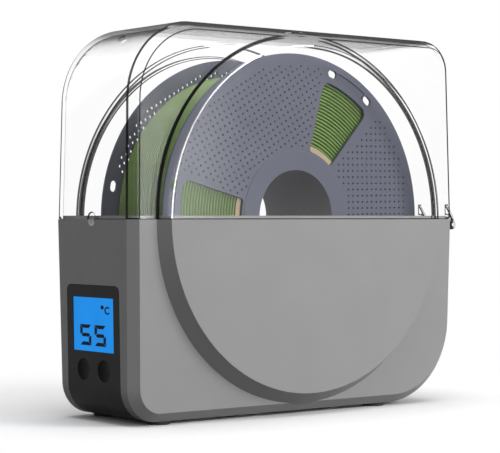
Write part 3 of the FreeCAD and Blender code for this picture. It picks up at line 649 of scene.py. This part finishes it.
def holed(loops):
    """Triangles of the region inside the first loop and outside the rest."""
    points, edges, owner = [], [], []
    for number, loop in enumerate(loops):
        start = len(points)
        points += [Vector(p) for p in loop]
        owner += [number] * len(loop)
        edges += [(start + i, start + (i + 1) % len(loop)) for i in range(len(loop))]
    places, _, triangles, sources, *_ = delaunay_2d_cdt(points, edges, [], 0, CDT_MERGE)
    kept = []
    for triangle in triangles:
        loop_ids = {owner[sources[i][0]] for i in triangle}
        if len(loop_ids) == 1 and loop_ids != {0}:
            middle = sum((places[i] for i in triangle), Vector((0, 0))) / 3
            if inside(middle, loops[loop_ids.pop()]):
                continue
        kept.append(triangle)
    return places, kept


RIM_POINTS = 180
windows = [tidy_loop(window_loop(t)) for t in WINDOW_TURNS]
slots = [tidy_loop(slot_loop(t + s)) for t in WINDOW_TURNS for s in (-SLOT_OFF, SLOT_OFF)]
channels = [tidy_loop(channel_loop(t)) for t in WINDOW_TURNS]
dots = dot_places(windows + slots + channels)
rim_edge = [polar(FLANGE_R - RIM_ROUND, 2 * math.pi * i / RIM_POINTS) for i in range(RIM_POINTS)]
land_edge = [polar(LAND_R, 2 * math.pi * i / RIM_POINTS) for i in range(RIM_POINTS)]
walls = windows + slots


def flange(name, side, dot_radii):
    """One side of the spool: a plate with windows, slots, grooves and tapered holes."""
    build = Build()
    dots_out, dots_in = [[dot_loop(place, radius) for place in dots] for radius in dot_radii]
    outer_face = holed([rim_edge, land_edge] + walls + dots_out + channels)
    inner_face = holed([rim_edge, land_edge] + walls + dots_in)

    def ring_at(loop, y):
        return [build.vert(Vector((AXIS_X + p[0], side * y, AXIS_Z + p[1])) * MM) for p in loop]

    for (places, triangles), y in ((outer_face, PLATE_OUT), (inner_face, FLANGE_IN)):
        verts = ring_at(places, y)
        for triangle in triangles:
            build.mesh.faces.new([verts[i] for i in triangle])
    for outside, within in zip(walls + dots_out, walls + dots_in):
        build.strip(ring_at(outside, PLATE_OUT), ring_at(within, FLANGE_IN))
    for loop in channels:
        build.strip(ring_at(loop, PLATE_OUT), ring_at(loop, PLATE_OUT - CHANNEL_DEEP))
        build.mesh.faces.new(ring_at(loop, PLATE_OUT - CHANNEL_DEEP))
    corner = RIM_ROUND * (1 - math.sqrt(0.5))
    rim = [(FLANGE_R - RIM_ROUND, PLATE_OUT), (FLANGE_R - corner, PLATE_OUT - corner),
           (FLANGE_R, PLATE_OUT - RIM_ROUND), (FLANGE_R, FLANGE_IN + RIM_ROUND),
           (FLANGE_R - corner, FLANGE_IN + corner), (FLANGE_R - RIM_ROUND, FLANGE_IN)]
    land = [(LAND_R, PLATE_OUT), (LAND_R - LAND_EDGE, LAND_OUT), (HUB_OUT, LAND_OUT),
            (HUB_OUT, FLANGE_IN), (LAND_R, FLANGE_IN)]
    for profile in (rim, land):
        build.lathe([(r, side * y) for r, y in profile], RIM_POINTS)
    piece = build.finish(name + "_perforated", [flange_grey], "spool", "flange_grey", 30)
    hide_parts(name)


def lined_hub():
    """The hub's tube, with its bore painted paler: painted light."""
    build = Build()
    build.mesh.from_mesh(nodes["spool_hub"].data)
    axis = Vector((AXIS_X, 0, AXIS_Z)) * MM
    for face in build.mesh.faces:
        inward = face.normal.dot(axis - face.calc_center_median()) > 0
        face.material_index = int(inward and abs(face.normal.y) < 0.5)
    piece = build.finish("spool_hub_lined", [flange_grey, bore_painted_light], "spool", "flange_grey", 30)
    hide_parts("spool_hub")


lined_hub()
flange("spool_flange_front", -1, DOT_FRONT)
flange("spool_flange_rear", 1, DOT_REAR)


# Winding: laid strands on the sides, and an outer layer in one long thread

CORE_OUT = 45.6
LAYERS_OUT = 87.45
SIDE_ROWS = 20
SIDE_CREST = 30.3
SIDE_DEEP = 1.9
THREAD_R = 0.875
THREAD_ROUND = 88.425
THREAD_TURNS = 26
THREAD_PITCH = 2.25
THREAD_STEPS = 96            # points in a turn of the thread
THREAD_SIDES = 8
SIDE_POINTS = 144
ROW_STEPS = 8                # points across a strand on the sides


def winding():
    build = Build()
    pitch = (LAYERS_OUT - CORE_OUT) / SIDE_ROWS
    crown = []
    for row in range(SIDE_ROWS):
        for step in range(ROW_STEPS):
            bend = math.pi * step / ROW_STEPS
            share = (1 - math.cos(bend)) / 2
            crown.append((CORE_OUT + pitch * (row + share),
                          SIDE_CREST - SIDE_DEEP * (1 - math.sin(bend))))
    crown.append((LAYERS_OUT, SIDE_CREST - SIDE_DEEP))
    profile = [(r, -y) for r, y in crown] + [(r, y) for r, y in reversed(crown)]
    build.lathe(profile, SIDE_POINTS, closed=True)
    places = []
    for i in range(THREAD_TURNS * THREAD_STEPS + 1):
        turn = i / THREAD_STEPS
        places.append(spool_point(THREAD_ROUND, 2 * math.pi * turn,
                                  THREAD_PITCH * (turn - THREAD_TURNS / 2)))
    build.tube(places, THREAD_R * MM, THREAD_SIDES)
    piece = build.finish("filament_winding", [filament_green], "spool", "filament_green", 50)
    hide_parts("filament_layers", "filament_outer_layer")


winding()


# Display digits and unit mark, printed on the screen's face

def on_display(inward, y, z):
    """Point on the display end: inward from the wall, and z from the seam."""
    return Vector((END_X + inward * math.cos(LEAN) - z * math.sin(LEAN), y,
                   SEAM_Z + inward * math.sin(LEAN) + z * math.cos(LEAN))) * MM


SCREEN_FACE = 0.3
DIGIT_THICK = 0.08


def stamp(build, outline):
    """A thin plate on the screen from an outline in (across, up); across runs to the right."""
    lift = on_display(SCREEN_FACE - DIGIT_THICK, 0, 0) - on_display(SCREEN_FACE, 0, 0)
    build.prism([on_display(SCREEN_FACE, -across, up) for across, up in outline], lift)


def ring(centre, outer, inner, start, end, count, stretch):
    """Part of a ring, wider or narrower than it is high."""
    outline = arc((0, 0), outer, start, end, count) + arc((0, 0), inner, end, start, count)
    return [(centre[0] + stretch * x, centre[1] + y) for x, y in outline]


DIGIT = (11.8, 12.2)         # width and height of a digit
STROKE = (2.6, 2.1)          # thickness of its upright and level strokes
STROKE_GAP = 0.22
DIGIT_LEFT = (-14.2, 1.2)
DIGIT_LOW = -73.8
FIVE = "acdfg"
DEGREE = ((9.6, -51), 1.2, 0.6)     # middle, outer and inner radius
DEGREE_STRETCH = 1.4
UNIT = ((15, -52.7), 2.3, 1.4)
UNIT_OPEN = math.radians(45)
UNIT_STRETCH = 1.35


def digit(build, left, low, shown):
    """Seven strokes, named a to g clockwise from the top with g in the middle."""
    upright, level = STROKE
    right, high = left + DIGIT[0], low + DIGIT[1]
    middle = low + DIGIT[1] / 2

    def across(outer, inward):
        return [(left + STROKE_GAP, outer), (right - STROKE_GAP, outer),
                (right - STROKE_GAP - upright, outer + inward),
                (left + STROKE_GAP + upright, outer + inward)]

    def up(outer, inward, end, away):
        start = end + away * (level + STROKE_GAP)
        return [(outer, end + away * STROKE_GAP), (outer + inward, start),
                (outer + inward, middle - away * (level / 2 + STROKE_GAP)),
                (outer, middle - away * STROKE_GAP)]

    strokes = {
        "a": across(high, -level), "d": across(low, level),
        "b": up(right, -upright, high, -1), "c": up(right, -upright, low, 1),
        "e": up(left, upright, low, 1), "f": up(left, upright, high, -1),
        "g": [(left + upright / 2, middle), (left + upright, middle + level / 2),
              (right - upright, middle + level / 2), (right - upright / 2, middle),
              (right - upright, middle - level / 2), (left + upright, middle - level / 2)],
    }
    for key in shown:
        stamp(build, strokes[key])


def screen_marks():
    """Plain numbers and the mark for degrees."""
    build = Build()
    for left in DIGIT_LEFT:
        digit(build, left, DIGIT_LOW, FIVE)
    stamp(build, ring(*DEGREE, 0, 2 * math.pi, 20, DEGREE_STRETCH))
    stamp(build, ring(*UNIT, UNIT_OPEN, 2 * math.pi - UNIT_OPEN, 24, UNIT_STRETCH))
    build.finish("screen_marks", [digit_black], "base", "module_black", 30)


screen_marks()


# Floor, light and camera

AMBIENT = 0.34               # the world's light on the object; the backdrop itself is white
FLOOR_FADE = (0.1, 0.36)     # where the floor turns into the backdrop, in metres from the middle
FLOOR_HALF = 4
LAMPS = (                    # name, place, aim, size and watts
    ("key", (1.15, -1.6, 0.95), (0, 0, 0.12), (0.9, 0.9), 26),
    ("strip", (0.68, -2.09, 0.2), (0, 0, 0.16), (1.3, 0.42), 17),
    ("top", (0, -0.1, 1.9), (0, 0, 0), (1.7, 1.7), 24))
CAMERA_PLACE = (-0.6944, -0.8684, 0.1197)
CAMERA_WAY = (0.6167, 0.7872, -0.0051)
SENSOR_WIDE = 36
FOCAL_LENGTH = 127.39


def white_rays(tree):
    """One for the rays that see the backdrop: direct, mirrored or passed through."""
    path = tree.nodes.new("ShaderNodeLightPath")
    both = tree.nodes.new("ShaderNodeMath")
    both.operation = "MAXIMUM"
    tree.links.new(path.outputs["Is Camera Ray"], both.inputs[0])
    tree.links.new(path.outputs["Is Glossy Ray"], both.inputs[1])
    every = tree.nodes.new("ShaderNodeMath")
    every.operation = "MAXIMUM"
    tree.links.new(both.outputs["Value"], every.inputs[0])
    tree.links.new(path.outputs["Is Transmission Ray"], every.inputs[1])
    return every.outputs["Value"]


def backdrop():
    world = bpy.data.worlds.new("studio")
    scene.world = world
    world.use_nodes = True
    tree = world.node_tree
    background = tree.nodes["Background"]
    background.inputs["Color"].default_value = (1, 1, 1, 1)
    level = tree.nodes.new("ShaderNodeMapRange")
    level.inputs["To Min"].default_value = AMBIENT
    level.inputs["To Max"].default_value = 1.0
    tree.links.new(white_rays(tree), level.inputs["Value"])
    tree.links.new(level.outputs["Result"], background.inputs["Strength"])


def pale_floor():
    """Floor that fades into the backdrop and throws little light back."""
    material = bpy.data.materials.new("pale_floor")
    material.use_nodes = True
    tree = material.node_tree
    tree.nodes.clear()
    where = tree.nodes.new("ShaderNodeTexCoord").outputs["Object"]
    away = tree.nodes.new("ShaderNodeVectorMath")
    away.operation = "LENGTH"
    tree.links.new(where, away.inputs[0])
    fade = tree.nodes.new("ShaderNodeMapRange")
    fade.interpolation_type = "SMOOTHSTEP"
    fade.inputs["From Min"].default_value = FLOOR_FADE[0]
    fade.inputs["From Max"].default_value = FLOOR_FADE[1]
    tree.links.new(away.outputs["Value"], fade.inputs["Value"])
    pale = tree.nodes.new("ShaderNodeBsdfDiffuse")
    pale.inputs["Color"].default_value = (0.93, 0.93, 0.93, 1)
    glow = tree.nodes.new("ShaderNodeEmission")
    seen = tree.nodes.new("ShaderNodeMixShader")
    tree.links.new(fade.outputs["Result"], seen.inputs["Fac"])
    tree.links.new(pale.outputs["BSDF"], seen.inputs[1])
    tree.links.new(glow.outputs["Emission"], seen.inputs[2])
    dim = tree.nodes.new("ShaderNodeBsdfDiffuse")
    dim.inputs["Color"].default_value = (0.04, 0.04, 0.04, 1)
    whole = tree.nodes.new("ShaderNodeMixShader")
    tree.links.new(white_rays(tree), whole.inputs["Fac"])
    tree.links.new(dim.outputs["BSDF"], whole.inputs[1])
    tree.links.new(seen.outputs["Shader"], whole.inputs[2])
    out = tree.nodes.new("ShaderNodeOutputMaterial")
    tree.links.new(whole.outputs["Shader"], out.inputs["Surface"])
    data = bpy.data.meshes.new("floor")
    corners = [(FLOOR_HALF * x, FLOOR_HALF * y, 0) for x, y in ((-1, -1), (1, -1), (1, 1), (-1, 1))]
    data.from_pydata(corners, [], [(0, 1, 2, 3)])
    data.materials.append(material)
    floor = bpy.data.objects.new("floor", data)
    scene.collection.objects.link(floor)


def lamps():
    for name, place, aim, size, watts in LAMPS:
        lamp = bpy.data.lights.new(name, "AREA")
        lamp.shape = "RECTANGLE"
        lamp.size, lamp.size_y = size
        lamp.energy = watts
        holder = bpy.data.objects.new(name, lamp)
        holder.location = place
        holder.rotation_euler = (Vector(aim) - Vector(place)).to_track_quat("-Z", "Y").to_euler()
        scene.collection.objects.link(holder)


def photo_camera():
    lens = bpy.data.cameras.new("photo_camera")
    lens.sensor_fit = "HORIZONTAL"
    lens.sensor_width = SENSOR_WIDE
    lens.lens = FOCAL_LENGTH
    camera = bpy.data.objects.new("photo_camera", lens)
    camera.location = CAMERA_PLACE
    camera.rotation_euler = Vector(CAMERA_WAY).to_track_quat("-Z", "Y").to_euler()
    scene.collection.objects.link(camera)
    scene.camera = camera


backdrop()
pale_floor()
lamps()
photo_camera()
